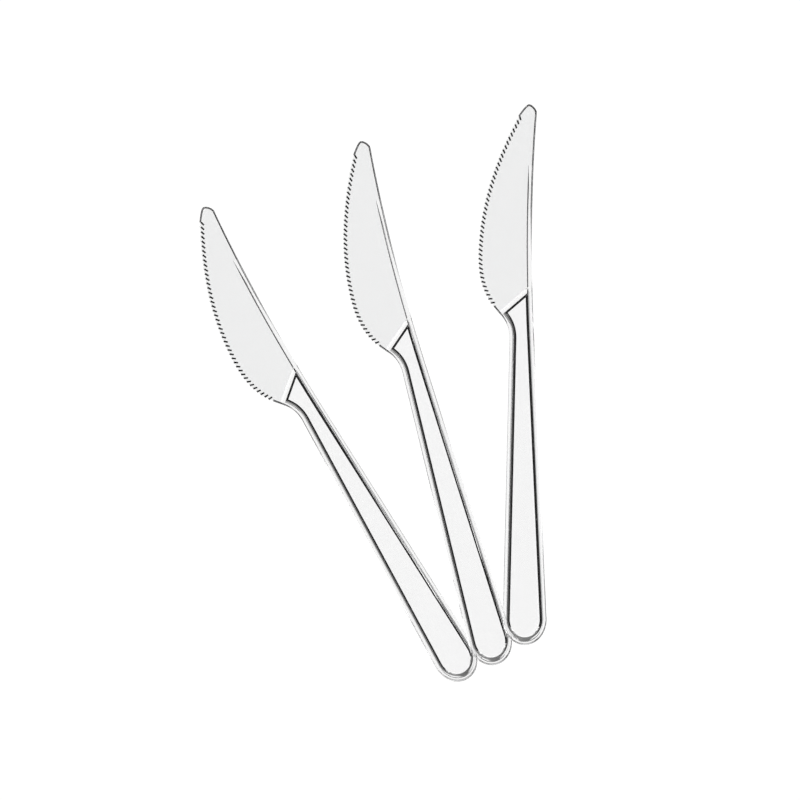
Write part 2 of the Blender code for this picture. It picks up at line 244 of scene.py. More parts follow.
@dataclass(frozen=True)
class KnifeSection:
    """Depths, walls and edges of one knife."""

    depth: float = 3.4 * MM
    plate: float = 1.2 * MM
    rim_wall: float = 1.3 * MM
    rim_bevel: float = 0.24 * MM
    rim_bevel_shares: tuple[float, float, float] = (0.8, 0.05, 1.0)
    root_wall: float = 1.94 * MM
    root_bead: float = 0.54 * MM
    root_bead_profile: tuple[tuple[float, float], ...] = ((0.5, 0.5), (1.0, 0.0))
    root_bead_least: float = 0.04
    end_root_wall: float = 2.75 * MM
    end_root_bead: float = 0.03 * MM
    root_slope: float = math.radians(42)
    side_bend: float = 1.12
    end_bend: float = 1.03
    edge_round: float = 0.12 * MM
    edge_bevel: float = 0.3 * MM
    end_bevel: float = 0.6 * MM
    heel_step: float = 0.75 * MM
    heel_step_reach: float = 8 * MM
    heel_step_fade: float = 0.35
    edge_bead: float = 0.64 * MM
    edge_ridges: int = 2
    bead_inset: float = 0.01 * MM
    bead_step: float = 0.65 * MM
    edge_bead_least: float = 0.1 * MM
    edge_bead_reach: tuple[float, float] = (58 * MM, 36 * MM)
    front_reach: float = 15.0 * MM
    front_slant: float = math.radians(41)
    front_bead: float = 0.8 * MM
    front_ridges: int = 2
    front_bead_bury: float = 0.65 * MM
    front_foot: float = 0.9 * MM
    front_ramp: float = 0.5 * MM
    web: float = 1.1 * MM
    taper: float = 0.025
    rib_width: float = 1.3 * MM
    rib_root: float = 1.85 * MM
    rib_groove: float = 0.55 * MM
    rib_groove_reach: float = 1.8 * MM
    rib_foot: float = 17.2 * MM
    rib_to_tip: float = 21.6 * MM

    @property
    def inner_wall(self) -> float:
        """Thickness of a side wall with the bead at its root."""
        return self.root_wall + self.root_bead

    @property
    def web_under(self) -> float:
        """Height of the blade's underside at its back."""
        return self.depth - self.web

    @property
    def roof(self) -> float:
        """Height of the plate's underside."""
        return self.depth - self.plate

    @property
    def ahead(self) -> Vector:
        """Way in plan from the front wall to the blade."""
        return Vector((-math.sin(self.front_slant), math.cos(self.front_slant)))

    @property
    def aside(self) -> Vector:
        """Way in plan along the front wall, towards the blade's back."""
        return Vector((self.ahead.y, -self.ahead.x))

    def root_depth(self, rim: float, root: float, bend: float) -> float:
        """Distance below the root at which a wall has its plain thickness.

        Args:
            rim: Thickness away from the root.
            root: Thickness at the root.
            bend: How hollow the widening is, with 1 for a plain bevel.

        Returns:
            The distance.
        """
        return bend * (root - rim) * math.tan(self.root_slope)

    def thickness(self, rim: float, root: float, bend: float, below: float) -> float:
        """Thickness of a wall that widens in a hollow curve towards its root.

        Args:
            rim: Thickness away from the root.
            root: Thickness at the root.
            bend: How hollow the widening is, with 1 for a plain bevel.
            below: Distance below the root.

        Returns:
            The thickness there.
        """
        share = max(0.0, 1 - below / self.root_depth(rim, root, bend))
        return rim + (root - rim) * share**bend


@dataclass(frozen=True)
class Teeth:
    """The serration along the cutting edge."""

    pitch: float = 1.64 * MM
    notch: float = 0.3 * MM
    edge_round: float = 0.08 * MM
    ridge_width: float = 0.66 * MM
    ridge_length: float = 1.5 * MM
    ridge_start: float = 0.04 * MM
    tip_inset: float = 0.52 * MM
    ridge_bury: float = 0.05 * MM
    ridge_taper: float = 0.88
    tip_slant: float = math.radians(-46)
    heel_slant: float = math.radians(-28)


def bezier(start: Vector, leave: Vector, arrive: Vector, end: Vector, steps: int) -> list[Vector]:
    """Points of a cubic curve.

    Args:
        start: Where the curve begins.
        leave: The point that it sets off towards.
        arrive: The point that it comes in from.
        end: Where the curve ends.
        steps: Number of points, without the end.

    Returns:
        The points from start to just before end.
    """
    points = []
    for index in range(steps):
        t = index / steps
        s = 1 - t
        points.append(start * s**3 + leave * 3 * s * s * t + arrive * 3 * s * t * t + end * t**3)
    return points


def even_steps(line: list[Vector], pitch: float) -> list[Vector]:
    """Points a whole number of equal steps apart along a line.

    Args:
        line: The open line.
        pitch: About how long each step is.

    Returns:
        The new points, with both ends kept.
    """
    lengths = np.concatenate([[0.0], np.cumsum([(b - a).length for a, b in zip(line, line[1:])])])
    count = max(2, round(lengths[-1] / pitch))
    along = np.linspace(0, lengths[-1], count + 1)
    return [Vector(place) for place in zip(*(np.interp(along, lengths, axis) for axis in zip(*line)))]


def left_of(along: Vector) -> Vector:
    """Unit direction to the left of a direction in plan."""
    return Vector((-along.y, along.x)).normalized()


def lefts(line: list[Vector]) -> list[Vector]:
    """Unit directions in plan to the left of an open line, one for each of its points."""
    last = len(line) - 1
    return [left_of(line[min(index + 1, last)] - line[max(index - 1, 0)]) for index in range(last + 1)]


def moved_in(line: list[Vector], reach: float) -> list[Vector]:
    """An open line moved to its left by a distance."""
    return [point + left * reach for point, left in zip(line, lefts(line))]


def level(points: list[Vector], height: float) -> list[Vector]:
    """Points of a plan raised to a height."""
    return [Vector((point.x, point.y, height)) for point in points]


def linked(name: str, data: bpy.types.ID) -> bpy.types.Object:
    """A new object that is in the scene.

    Args:
        name: The object's name.
        data: Its mesh, lamp or camera.

    Returns:
        The object.
    """
    thing = bpy.data.objects.new(name, data)
    bpy.context.scene.collection.objects.link(thing)
    return thing


def loft(name: str, loops: list[list[Vector]]) -> bpy.types.Object:
    """A closed solid through loops of equally many points.

    Args:
        name: The object's name.
        loops: The loops, in order.

    Returns:
        The object.
    """
    bm = bmesh.new()
    rings = [[bm.verts.new(point) for point in loop] for loop in loops]
    for below, above in zip(rings, rings[1:]):
        for index in range(len(below)):
            after = (index + 1) % len(below)
            bm.faces.new((below[index], below[after], above[after], above[index]))
    bm.faces.new(rings[0])
    bm.faces.new(rings[-1])
    bmesh.ops.recalc_face_normals(bm, faces=bm.faces)
    mesh = bpy.data.meshes.new(name)
    bm.to_mesh(mesh)
    bm.free()
    return linked(name, mesh)


def trim(body: bpy.types.Object, point: Vector, normal: Vector, side: CutSide) -> None:
    """Take away what lies on one side of a plane, and close the cut.

    Args:
        body: The solid to cut.
        point: A point of the plane.
        normal: The plane's normal.
        side: Which side goes.
    """
    bm = bmesh.new()
    bm.from_mesh(body.data)
    cut = bmesh.ops.bisect_plane(bm, geom=bm.verts[:] + bm.edges[:] + bm.faces[:], plane_co=point,
                                 plane_no=normal * side.value, clear_outer=True)
    edges = [item for item in cut["geom_cut"] if isinstance(item, bmesh.types.BMEdge)]
    bmesh.ops.edgeloop_fill(bm, edges=edges)
    bmesh.ops.recalc_face_normals(bm, faces=bm.faces)
    bm.to_mesh(body.data)
    bm.free()


def baked(body: bpy.types.Object) -> bpy.types.Mesh:
    """A plain mesh of an object as its modifiers leave it. The object itself is removed."""
    depsgraph = bpy.context.evaluated_depsgraph_get()
    mesh = bpy.data.meshes.new_from_object(body.evaluated_get(depsgraph), depsgraph=depsgraph)
    bpy.data.objects.remove(body)
    return mesh


def material_tree(name: str) -> tuple[bpy.types.Material, bpy.types.NodeTree]:
    """A new material and its node tree."""
    material = bpy.data.materials.new(name)
    material.use_nodes = True
    return material, material.node_tree


def add(tree: bpy.types.NodeTree, kind: str, inputs: dict[str, object] | None = None) -> bpy.types.Node:
    """A new node.

    Args:
        tree: The tree that it joins.
        kind: Blender's name for its type.
        inputs: Values of its inputs, by name.

    Returns:
        The node.
    """
    node = tree.nodes.new(kind)
    for name, value in (inputs or {}).items():
        node.inputs[name].default_value = value
    return node


def wire(tree: bpy.types.NodeTree, *joins: Join) -> None:
    """Join the sockets of nodes.

    Args:
        tree: The tree that holds the nodes.
        joins: For each join, a node and its output, then the node and input that it goes to.
    """
    for source, output, target, socket in joins:
        tree.links.new(source.outputs[output], target.inputs[socket])


@dataclass(frozen=True)
class ClearPlastic:
    """Colourless clear polystyrene, glossy from the mould, with a faint waviness and fine scuffs. The blade's
    web has a painted grey shade.
    """

    handle_tint: tuple[float, float, float] = (1.0, 1.0, 1.0)
    # Painted shade: a grey base colour for the blade's web that stands in for the shade the blade shows over
    # the table.
    web_painted_shade: tuple[float, float, float] = (0.87, 0.876, 0.876)
    index: float = 1.59
    roughness: float = 0.02
    scuffed: float = 0.07
    scuff_scale: float = 900.0
    scuff_detail: float = 4.0
    scuff_range: tuple[float, float] = (0.55, 0.8)
    wave_scale: float = 70.0
    wave_detail: float = 1.0
    wave_height: float = 0.02 * MM
    wave_strength: float = 0.5
    lamp_share: tuple[float, float, float] = (0.95, 0.95, 0.95)

    def build(self) -> bpy.types.Material:
        """The material, with its surface worked out from the place on the knife, and painted shade on the
        blade's web.

        Returns:
            The material, ready for a mesh.
        """
        material, tree = material_tree("clear_plastic")
        shader = tree.nodes["Principled BSDF"]
        shader.inputs["IOR"].default_value = self.index
        shader.inputs["Transmission Weight"].default_value = 1
        place = add(tree, "ShaderNodeAttribute")
        place.attribute_name = "own_place"
        thin = add(tree, "ShaderNodeAttribute")
        thin.attribute_name = "thin"
        # Painted shade: faces marked thin, under the blade's web, take a grey base colour in place of the
        # shade the blade shows over the table.
        web_shade_mix = add(tree, "ShaderNodeMix")
        web_shade_mix.data_type = "RGBA"
        web_shade_mix.inputs["A"].default_value = (*self.handle_tint, 1)
        web_shade_mix.inputs["B"].default_value = (*self.web_painted_shade, 1)
        scuffs = add(tree, "ShaderNodeTexNoise", {"Scale": self.scuff_scale, "Detail": self.scuff_detail})
        least, most = self.scuff_range
        spread = add(tree, "ShaderNodeMapRange", {"From Min": least, "From Max": most,
                                                  "To Min": self.roughness, "To Max": self.scuffed})
        waves = add(tree, "ShaderNodeTexNoise", {"Scale": self.wave_scale, "Detail": self.wave_detail})
        bump = add(tree, "ShaderNodeBump", {"Distance": self.wave_height, "Strength": self.wave_strength})
        wire(tree, (thin, "Fac", web_shade_mix, "Factor"), (web_shade_mix, "Result", shader, "Base Color"),
             (place, "Vector", scuffs, "Vector"), (place, "Vector", waves, "Vector"),
             (scuffs, "Fac", spread, "Value"), (spread, "Result", shader, "Roughness"),
             (waves, "Fac", bump, "Height"), (bump, "Normal", shader, "Normal"))
        self.let_lamps_through(tree, shader)
        return material

    def let_lamps_through(self, tree: bpy.types.NodeTree, shader: bpy.types.Node) -> None:
        """Let the lamps light the table through the plastic.

        Args:
            tree: The material's node tree.
            shader: The plastic's own shader.
        """
        path = add(tree, "ShaderNodeLightPath")
        clear = add(tree, "ShaderNodeBsdfTransparent", {"Color": (*self.lamp_share, 1)})
        mix = add(tree, "ShaderNodeMixShader")
        wire(tree, (path, "Is Shadow Ray", mix, "Fac"), (shader, "BSDF", mix, 1), (clear, "BSDF", mix, 2),
             (mix, "Shader", tree.nodes["Material Output"], "Surface"))


class RidgeRow:
    """The row of slanted ridges under the cutting edge, made with Geometry Nodes."""

    def __init__(self, teeth: Teeth) -> None:
        """Keep the sizes of the teeth."""
        self.teeth = teeth

    def tree(self) -> bpy.types.NodeTree:
        """The node tree: a slanted three-sided prism on every step of the line that it is given.

        Returns:
            The tree, which ends in real geometry with its material set.
        """
        tree = bpy.data.node_groups.new("ridge_row", "GeometryNodeTree")
        sockets = tree.interface
        sockets.new_socket(name="Line", in_out="INPUT", socket_type="NodeSocketGeometry")
        sockets.new_socket(name="Count", in_out="INPUT", socket_type="NodeSocketInt")
        for name in ("Length", "Outer Radius", "Inner Radius", "Start", "Rise", "Tip Slant", "Heel Slant"):
            sockets.new_socket(name=name, in_out="INPUT", socket_type="NodeSocketFloat")
        sockets.new_socket(name="Finish", in_out="INPUT", socket_type="NodeSocketMaterial")
        sockets.new_socket(name="Ridges", in_out="OUTPUT", socket_type="NodeSocketGeometry")
        given = add(tree, "NodeGroupInput")
        made = add(tree, "NodeGroupOutput")
        curve = add(tree, "GeometryNodeMeshToCurve")
        steps = add(tree, "GeometryNodeResampleCurve")
        prism = add(tree, "GeometryNodeMeshCone", {"Vertices": 3})
        upright = add(tree, "GeometryNodeTransform", {"Rotation": (0, 0, math.pi / 2)})
        square = add(tree, "GeometryNodeTransform", {"Scale": (1, 1 / math.sqrt(3), 1)})
        laid = add(tree, "GeometryNodeTransform", {"Rotation": (-math.pi / 2, 0, 0)})
        shift = add(tree, "ShaderNodeCombineXYZ")
        tangent = add(tree, "GeometryNodeInputTangent")
        align = add(tree, "FunctionNodeAlignRotationToVector")
        align.axis = "X"
        align.pivot_axis = "Z"
        along = add(tree, "GeometryNodeSplineParameter")
        turning = add(tree, "ShaderNodeMapRange")
        slant = add(tree, "ShaderNodeCombineXYZ")
        euler = add(tree, "FunctionNodeEulerToRotation")
        turn = add(tree, "FunctionNodeRotateRotation")
        turn.rotation_space = "LOCAL"
        copies = add(tree, "GeometryNodeInstanceOnPoints")
        real = add(tree, "GeometryNodeRealizeInstances")
        finish = add(tree, "GeometryNodeSetMaterial")
        wire(tree, (given, "Line", curve, "Mesh"), (curve, "Curve", steps, "Curve"),
             (given, "Count", steps, "Count"), (given, "Length", prism, "Depth"),
             (given, "Outer Radius", prism, "Radius Bottom"), (given, "Inner Radius", prism, "Radius Top"),
             (prism, "Mesh", upright, "Geometry"), (upright, "Geometry", square, "Geometry"),
             (square, "Geometry", laid, "Geometry"), (shift, "Vector", laid, "Translation"),
             (given, "Start", shift, "Y"), (given, "Rise", shift, "Z"), (tangent, "Tangent", align, "Vector"),
             (along, "Factor", turning, "Value"), (given, "Tip Slant", turning, "To Min"),
             (given, "Heel Slant", turning, "To Max"), (turning, "Result", slant, "Z"),
             (slant, "Vector", euler, "Euler"), (align, "Rotation", turn, "Rotation"),
             (euler, "Rotation", turn, "Rotate By"), (steps, "Curve", copies, "Points"),
             (laid, "Geometry", copies, "Instance"), (turn, "Rotation", copies, "Rotation"),
             (copies, "Instances", real, "Geometry"), (real, "Geometry", finish, "Geometry"),
             (given, "Finish", finish, "Material"), (finish, "Geometry", made, "Ridges"))
        return tree

    def build(self, line: list[Vector], plastic: bpy.types.Material) -> bpy.types.Object:
        """Three-cornered ridges, one from each tooth, that are buried a little way in the plastic.

        Args:
            line: The lower side of the cutting edge, from the tip to the heel.
            plastic: The material of the ridges.

        Returns:
            One object that holds them all.
        """
        teeth = self.teeth
        tips = even_steps(line, teeth.pitch)[:-1]
        mesh = bpy.data.meshes.new("ridge_line")
        mesh.from_pydata(tips, [(i, i + 1) for i in range(len(tips) - 1)], [])
        row = linked("ridge_row", mesh)
        modifier = row.modifiers.new("ridges", "NODES")
        modifier.node_group = self.tree()
        height = teeth.ridge_width / 2 + teeth.ridge_bury
        radius = height * 2 / math.sqrt(3)
        values = {
            "Count": len(tips),
            "Length": teeth.ridge_length,
            "Outer Radius": radius,
            "Inner Radius": radius * teeth.ridge_taper,
            "Start": teeth.ridge_start,
            "Rise": teeth.ridge_bury - height / 3,
            "Tip Slant": teeth.tip_slant,
            "Heel Slant": teeth.heel_slant,
            "Finish": plastic,
        }
        for item in modifier.node_group.interface.items_tree:
            if item.in_out == "INPUT" and item.name in values:
                modifier[item.identifier] = values[item.name]
        return linked("ridges", baked(row))


class MouldedKnife:
    """One knife as it leaves the mould, in its own frame."""

    def __init__(self, plan: KnifePlan, section: KnifeSection, teeth: Teeth) -> None:
        """Keep the sizes that the knife is made from.

        Args:
            plan: Its outline.
            section: Its depths, walls and edges.
            teeth: Its serration.
        """
        self.plan = plan
        self.section = section
        self.teeth = teeth

    @property
    def front_point(self) -> Vector:
        """Where the front wall meets the wall at the back, in plan."""
        return self.plan.neck_back + Vector((-self.section.inner_wall, self.section.front_reach))

    @property
    def blade_start(self) -> Vector:
        """A point of the line where the front wall's foot gives way to the blade, in plan."""
        section = self.section
        return self.front_point + section.ahead * (section.front_bead + section.front_foot)

    @property
    def rib_end(self) -> float:
        """Distance from the handle's end at which the rib has died out."""
        return self.plan.tip_y - self.section.rib_to_tip

    @property
    def foot_y(self) -> float:
        """Distance from the handle's end up to which the rib has its full depth."""
        return self.plan.handle_length + self.section.rib_foot

    def under(self, x: float) -> float:
        """Height of the blade's underside, which rises towards the cutting edge.

        Args:
            x: The place across the knife.

        Returns:
            The height.
        """
        return self.section.web_under + self.section.taper * (self.plan.tip_back.x - x)

    def on_web(self, point: Vector) -> Vector:
        """A point of the plan, put on the blade's underside."""
        return Vector((point.x, point.y, self.under(point.x)))

    def toothed_edge(self) -> list[Vector]:
        """The cutting edge as a row of pointed teeth with round hollows between them.

        Returns:
            Its points, from the tip to the heel.
        """
        tips = even_steps(self.plan.edge_curve(), self.teeth.pitch)
        line = []
        for low, high in zip(tips, tips[1:]):
            into = left_of(high - low)
            for step in range(self.plan.fineness.tooth):
                share = step / self.plan.fineness.tooth
                line.append(low.lerp(high, share) + into * self.teeth.notch * math.sin(math.pi * share))
        return line + [tips[-1]]

    def blank(self) -> bpy.types.Object:
        """The whole outline at full depth, with its edges rounded.

        Returns:
            The solid.
        """
        section = self.section
        plan = self.plan
        round_, bevel = section.edge_round, section.edge_bevel
        outline = [(point, round_, bevel) for point in plan.back_curve() + plan.tip_curve()]
        outline += [(point, self.teeth.edge_round, self.teeth.edge_round) for point in self.toothed_edge()]
        outline += [(point, round_, bevel) for point in plan.flare_curve()[1:]]
        for point in plan.end_curve():
            share = math.sqrt(max(0.0, 1 - point.y / plan.end_round))
            outline.append((point, round_, bevel + (section.end_bevel - bevel) * share))
        ahead = outline[1:] + outline[:1]
        behind = outline[-1:] + outline[:-1]
        inward = [left_of(after[0] - before[0]) for before, after in zip(behind, ahead)]
        foot = []
        shoulder = []
        for (point, _, width), into in zip(outline, inward):
            foot.append((point + into * width).to_3d())
            shoulder.append(Vector((point.x, point.y, width * math.tan(section.root_slope))))
        rings = [foot, shoulder]
        for step in range(plan.fineness.edge_round + 1):
            angle = math.pi / 2 * step / plan.fineness.edge_round
            ring = []
            for (point, size, _), into in zip(outline, inward):
                place = point + into * size * (1 - math.cos(angle))
                ring.append(Vector((place.x, place.y, section.depth - size * (1 - math.sin(angle)))))
            rings.append(ring)
        return loft("knife_blank", rings)

    def channel_plan(self, side: float, end: float) -> list[Vector]:
        """Plan of the handle's hollow, run on past its front.

        Args:
            side: Thickness of the wall at the sides.
            end: Thickness of the wall at the handle's end.

        Returns:
            The closed line, anticlockwise.
        """
        plan = self.plan
        start = plan.handle_length
        reach = self.section.front_reach + plan.fineness.beyond
        back = []
        for step in range(plan.fineness.straight + 1):
            y = start + reach * step / plan.fineness.straight
            back.append(Vector((plan.back_x(y) - side, y)))
        return back + moved_in(plan.flare_curve(), side) + plan.end_curve(side, end)

    def bead_share(self, y: float) -> float:
        """How deep the bead at the root of the side walls is, as it dies out round the handle's end.

        Args:
            y: Distance from the handle's end.

        Returns:
            The share of its full depth.
        """
        turned = min(1.0, max(0.0, 1 - y / self.plan.end_round))
        return max(self.section.root_bead_least, 1 - turned**2)

    def rim_share(self, y: float) -> float:
        """How wide the rim's inner bevel is, as a share of its full width.

        Args:
            y: Distance from the handle's end.

        Returns:
            The share round the handle's end, along its sides, or at the neck, or one between two of them.
        """
        plan = self.plan
        end, side, neck = self.section.rim_bevel_shares
        side_start, side_end = 2 * plan.end_round, plan.handle_length - plan.end_round
        stops = (plan.end_round / 2, side_start, side_end, plan.handle_length)
        return float(np.interp(y, stops, (end, side, side, neck)))

    def channel_cutter(self) -> bpy.types.Object:
        """The hollow under the handle, whose walls thicken in a hollow curve towards the plate.

        Returns:
            The cutter.
        """
        section = self.section
        rim = section.rim_wall
        steps = self.plan.fineness.cove
        inner = self.channel_plan(rim, rim)
        bevels = [section.rim_bevel * self.rim_share(point.y) for point in inner]
        rise = math.tan(section.root_slope)
        foot = []
        for index, (point, bevel) in enumerate(zip(inner, bevels)):
            along = inner[(index + 1) % len(inner)] - inner[index - 1]
            foot.append(point - left_of(along) * bevel)
        loops = [level(foot, -self.plan.fineness.beyond), level(foot, 0)]
        loops.append([Vector((*point, bevel * rise)) for point, bevel in zip(inner, bevels)])
        depth = section.root_depth(rim, section.end_root_wall, section.end_bend)
        for step in range(steps + 1):
            below = depth * (1 - step / steps)
            side = section.thickness(rim, section.root_wall, section.side_bend, below)
            end = section.thickness(rim, section.end_root_wall, section.end_bend, below)
            loops.append(level(self.channel_plan(side, end), section.roof - below))
        for across, down in section.root_bead_profile:
            bead = self.channel_plan(section.root_wall + section.root_bead * across,
                                     section.end_root_wall + section.end_root_bead * across)
            loops.append([Vector((*point, section.roof - section.root_bead * down * self.bead_share(point.y)))
                          for point in bead])
        body = loft("channel_cutter", loops)
        wall = self.front_point + section.ahead * section.front_bead
        trim(body, wall.to_3d(), section.ahead.to_3d(), CutSide.FRONT)
        return body

    def relief_cutter(self) -> bpy.types.Object:
        """What goes from under the blade, between the rib and a ramp at the front wall.

        Returns:
            The cutter.
        """
        section = self.section
        plan = self.plan
        beyond = plan.fineness.beyond
        start = plan.handle_length - beyond
        right = plan.tip_back.x + beyond
        left = plan.back_x(plan.belly_y) - plan.blade_width - beyond
        around = [Vector((right, self.rib_end)), Vector((right, plan.tip_y + beyond)),
                  Vector((left, plan.tip_y + beyond)), Vector((left, start))]
        depth = section.root_depth(section.rib_width, section.rib_root, section.side_bend)
        belows = [section.web_under + beyond]
        belows += [depth * (1 - step / plan.fineness.cove) for step in range(plan.fineness.cove + 1)]
        loops = []
        for below in belows:
            wall = section.thickness(section.rib_width, section.rib_root, section.side_bend, below)
            rib = []
            for step in range(plan.fineness.curve + 1):
                y = start + (self.rib_end - start) * step / plan.fineness.curve
                rib.append(Vector((plan.back_x(y) - wall, y)))
            loops.append([Vector((point.x, point.y, self.under(point.x) - below)) for point in rib + around])
        body = loft("relief_cutter", loops)
        foot = self.blade_start
        slope = Vector((*(section.ahead * section.web_under), -section.front_ramp))
        trim(body, Vector((*foot, 0)), slope, CutSide.BACK)
        return body

    def rib_cutter(self) -> bpy.types.Object:
        """A wedge under the rib, which leaves it flush where it ends.

        Returns:
            The cutter.
        """
        beyond = self.plan.fineness.beyond
        slope = self.section.web_under / (self.rib_end - self.foot_y)
        outline = [(self.foot_y - beyond, -slope * beyond), (self.foot_y - beyond, -beyond),
                   (self.rib_end, -beyond), (self.rib_end, self.section.web_under)]
        left = self.plan.back_x(self.plan.belly_y) - self.plan.blade_width - beyond
        sides = (left, self.plan.tip_back.x + beyond)
        return loft("rib_cutter", [[Vector((x, y, z)) for y, z in outline] for x in sides])

    def bead(self, name: str, line: list[Vector], widths: list[float], ridges: int) -> bpy.types.Object:
        """A bead of three-cornered ridges under a surface, to the left of a line.

        Args:
            name: The object's name.
            line: The line, at the height of the surface.
            widths: The bead's width at each point.
            ridges: Number of ridges side by side, each half as deep as it is wide.

        Returns:
            The bead with a root that reaches up into the plastic.
        """
        bury = self.section.edge_round
        rings = []
        for point, left, width in zip(line, lefts(line), widths):
            step = width / ridges / 2
            profile = [(0, bury)] + [(step * side, -step * (side % 2)) for side in range(2 * ridges + 1)]
            profile.append((width, bury))
            rings.append([point + left.to_3d() * offset + Vector((0, 0, rise)) for offset, rise in profile])
        return loft(name, rings)

    def edge_bead(self) -> bpy.types.Object:
        """The bead along the blade's back and round its tip, which dwindles towards the handle.

        Returns:
            The bead.
        """
        section = self.section
        plan = self.plan
        line = [point for point in plan.back_curve() if point.y > self.foot_y]
        line = even_steps(line + plan.tip_curve() + [plan.tip_edge], section.bead_step)
        line = moved_in(line, section.bead_inset)
        stops = [plan.tip_y - reach for reach in section.edge_bead_reach]
        sizes = (section.edge_bead_least, section.edge_bead)
        ribbed = section.web_under / (self.rib_end - self.foot_y)
        widths = []
        places = []
        for point in line:
            widths.append(float(np.interp(point.y, stops, sizes)))
            height = self.under(point.x) - ribbed * max(0.0, self.rib_end - point.y)
            places.append(Vector((point.x, point.y, height)))
        return self.bead("edge_bead", places, widths, section.edge_ridges)

    def heel_line(self) -> tuple[list[Vector], list[float]]:
        """The start of the flare's outline.

        Returns:
            Its points, and for each the share that is left there of the step under it.
        """
        line = []
        shares = []
        heel = self.plan.flare_curve()[0]
        for point in self.plan.flare_curve():
            share = 1 - (point - heel).length / self.section.heel_step_reach
            if share > 0:
                line.append(point)
                shares.append(share**self.section.heel_step_fade)
        return line, shares

    def heel_cutter(self) -> bpy.types.Object:
        """What goes from under the flare's outline, up to the height of the web, to leave a narrow flange.

        Returns:
            The cutter.
        """
        line, shares = self.heel_line()
        beyond = self.plan.fineness.beyond
        inner = [point + left * self.section.heel_step * share
                 for point, left, share in zip(line, lefts(line), shares)]
        outer = [point - left * beyond for point, left in zip(line, lefts(line))]
        around = inner + outer[::-1]
        return loft("heel_cutter", [level(around, -beyond), [self.on_web(point) for point in around]])

    def heel_bead(self) -> bpy.types.Object:
        """The bead under the flange along the start of the flare.

        Returns:
            The bead.
        """
        line, shares = self.heel_line()
        places = [self.on_web(point) for point in moved_in(line, self.section.bead_inset)]
        widths = [self.section.heel_step * share for share in shares]
        return self.bead("heel_bead", places, widths, self.section.edge_ridges)

    def rib_groove(self) -> bpy.types.Object:
        """The groove that draws the rib's line on across the front wall's foot.

        Returns:
            The cutter.
        """
        section = self.section
        width = section.rib_groove
        depth = width / 2 * math.tan(section.root_slope)
        rings = []
        for y in (self.front_point.y - width, self.foot_y + section.rib_groove_reach):
            middle = Vector((self.plan.back_x(y) - section.rib_width - width / 2, y, 0))
            profile = ((0, depth), (-width, -depth), (width, -depth))
            rings.append([middle + Vector((x, 0, z)) for x, z in profile])
        return loft("rib_groove", rings)

    def front_bead(self) -> bpy.types.Object:
        """The bead under the plate along the front wall.

        Returns:
            The bead.
        """
        section = self.section
        wall = self.front_point + section.ahead * (section.front_bead - section.bead_inset)
        ends = (wall + section.aside * section.front_bead_bury,
                wall - section.aside * (self.front_width + section.front_bead_bury))
        line = [Vector((*end, section.roof)) for end in ends]
        return self.bead("front_bead", line, [section.front_bead] * len(line), section.front_ridges)

    @property
    def front_width(self) -> float:
        """Length of the front wall in plan, between the side walls."""
        section = self.section
        start = self.front_point
        wall = moved_in(self.plan.flare_curve(), section.inner_wall)
        reaches = []
        for low, high in zip(wall, wall[1:]):
            sides = [(point - start).dot(section.ahead) for point in (low, high)]
            if min(sides) <= 0 < max(sides):
                share = sides[0] / (sides[0] - sides[1])
                reaches.append((start - low.lerp(high, share)).dot(section.aside))
        return max(reaches)

    def ridge_line(self) -> list[Vector]:
        """Where the ridges start under the web: at the outline by the heel, and further in by the tip.

        Returns:
            The line, from the tip to the heel.
        """
        outer = self.plan.edge_curve()
        inner = moved_in(outer, self.teeth.tip_inset)
        line = []
        for index, (near, far) in enumerate(zip(outer, inner)):
            line.append(self.on_web(far.lerp(near, index / len(outer))))
        return line

    def build(self, plastic: bpy.types.Material) -> bpy.types.Mesh:
        """The finished knife as one closed mesh.

        Args:
            plastic: Its material.

        Returns:
            The mesh, in the knife's own frame.
        """
        body = self.blank()
        body.data.materials.append(plastic)
        ridges = RidgeRow(self.teeth).build(self.ridge_line(), plastic)
        hollows = [self.channel_cutter(), self.relief_cutter(), self.rib_cutter(), self.rib_groove(),
                   self.heel_cutter()]
        swellings = [self.edge_bead(), self.heel_bead(), self.front_bead(), ridges]
        for other in hollows + swellings:
            change = body.modifiers.new(other.name, "BOOLEAN")
            change.operation = "DIFFERENCE" if other in hollows else "UNION"
            change.solver = "EXACT"
            change.object = other
        mesh = baked(body)
        for spent in hollows + swellings:
            bpy.data.objects.remove(spent)
        return self.smoothed(mesh, plastic)

    def smoothed(self, mesh: bpy.types.Mesh, plastic: bpy.types.Material) -> bpy.types.Mesh:
        """The mesh with curved faces shaded round and flat faces kept flat.

        Args:
            mesh: The cut mesh.
            plastic: Its material.

        Returns:
            A new mesh with its own normals.
        """
        bm = bmesh.new()
        bm.from_mesh(mesh)
        bmesh.ops.remove_doubles(bm, verts=bm.verts, dist=MERGE_WITHIN)
        bmesh.ops.triangulate(bm, faces=[face for face in bm.faces if len(face.verts) > 4])
        bm.to_mesh(mesh)
        bm.free()
        mesh.materials.clear()
        mesh.materials.append(plastic)
        mesh.shade_smooth()
        mesh.set_sharp_from_angle(angle=SHARP_FROM)
        # Mark the blade web's underside, where the painted grey shade goes.
        thin = mesh.attributes.new("thin", "FLOAT", "FACE")
        thin.data.foreach_set("value", [self.web_shade_mask(face) for face in mesh.polygons])
        own = mesh.attributes.new("own_place", "FLOAT_VECTOR", "POINT")
        own.data.foreach_set("vector", np.array([vertex.co for vertex in mesh.vertices]).ravel())
        body = linked("knife_smoothing", mesh)
        weigh = body.modifiers.new("weigh", "WEIGHTED_NORMAL")
        weigh.keep_sharp = True
        return baked(body)

    def web_shade_mask(self, face: bpy.types.MeshPolygon) -> float:
        """Where the painted grey shade goes: faces of the underside below the blade's thin web.

        Args:
            face: A face of the knife, in its own frame.

        Returns:
            One under the blade and nothing elsewhere.
        """
        section = self.section
        middle = face.center
        if face.normal.z > -math.cos(LEVEL_WITHIN) or abs(middle.z - self.under(middle.x)) > ON_WEB_WITHIN:
            return 0.0
        return float((middle.to_2d() - self.blade_start).dot(section.ahead) > 0)

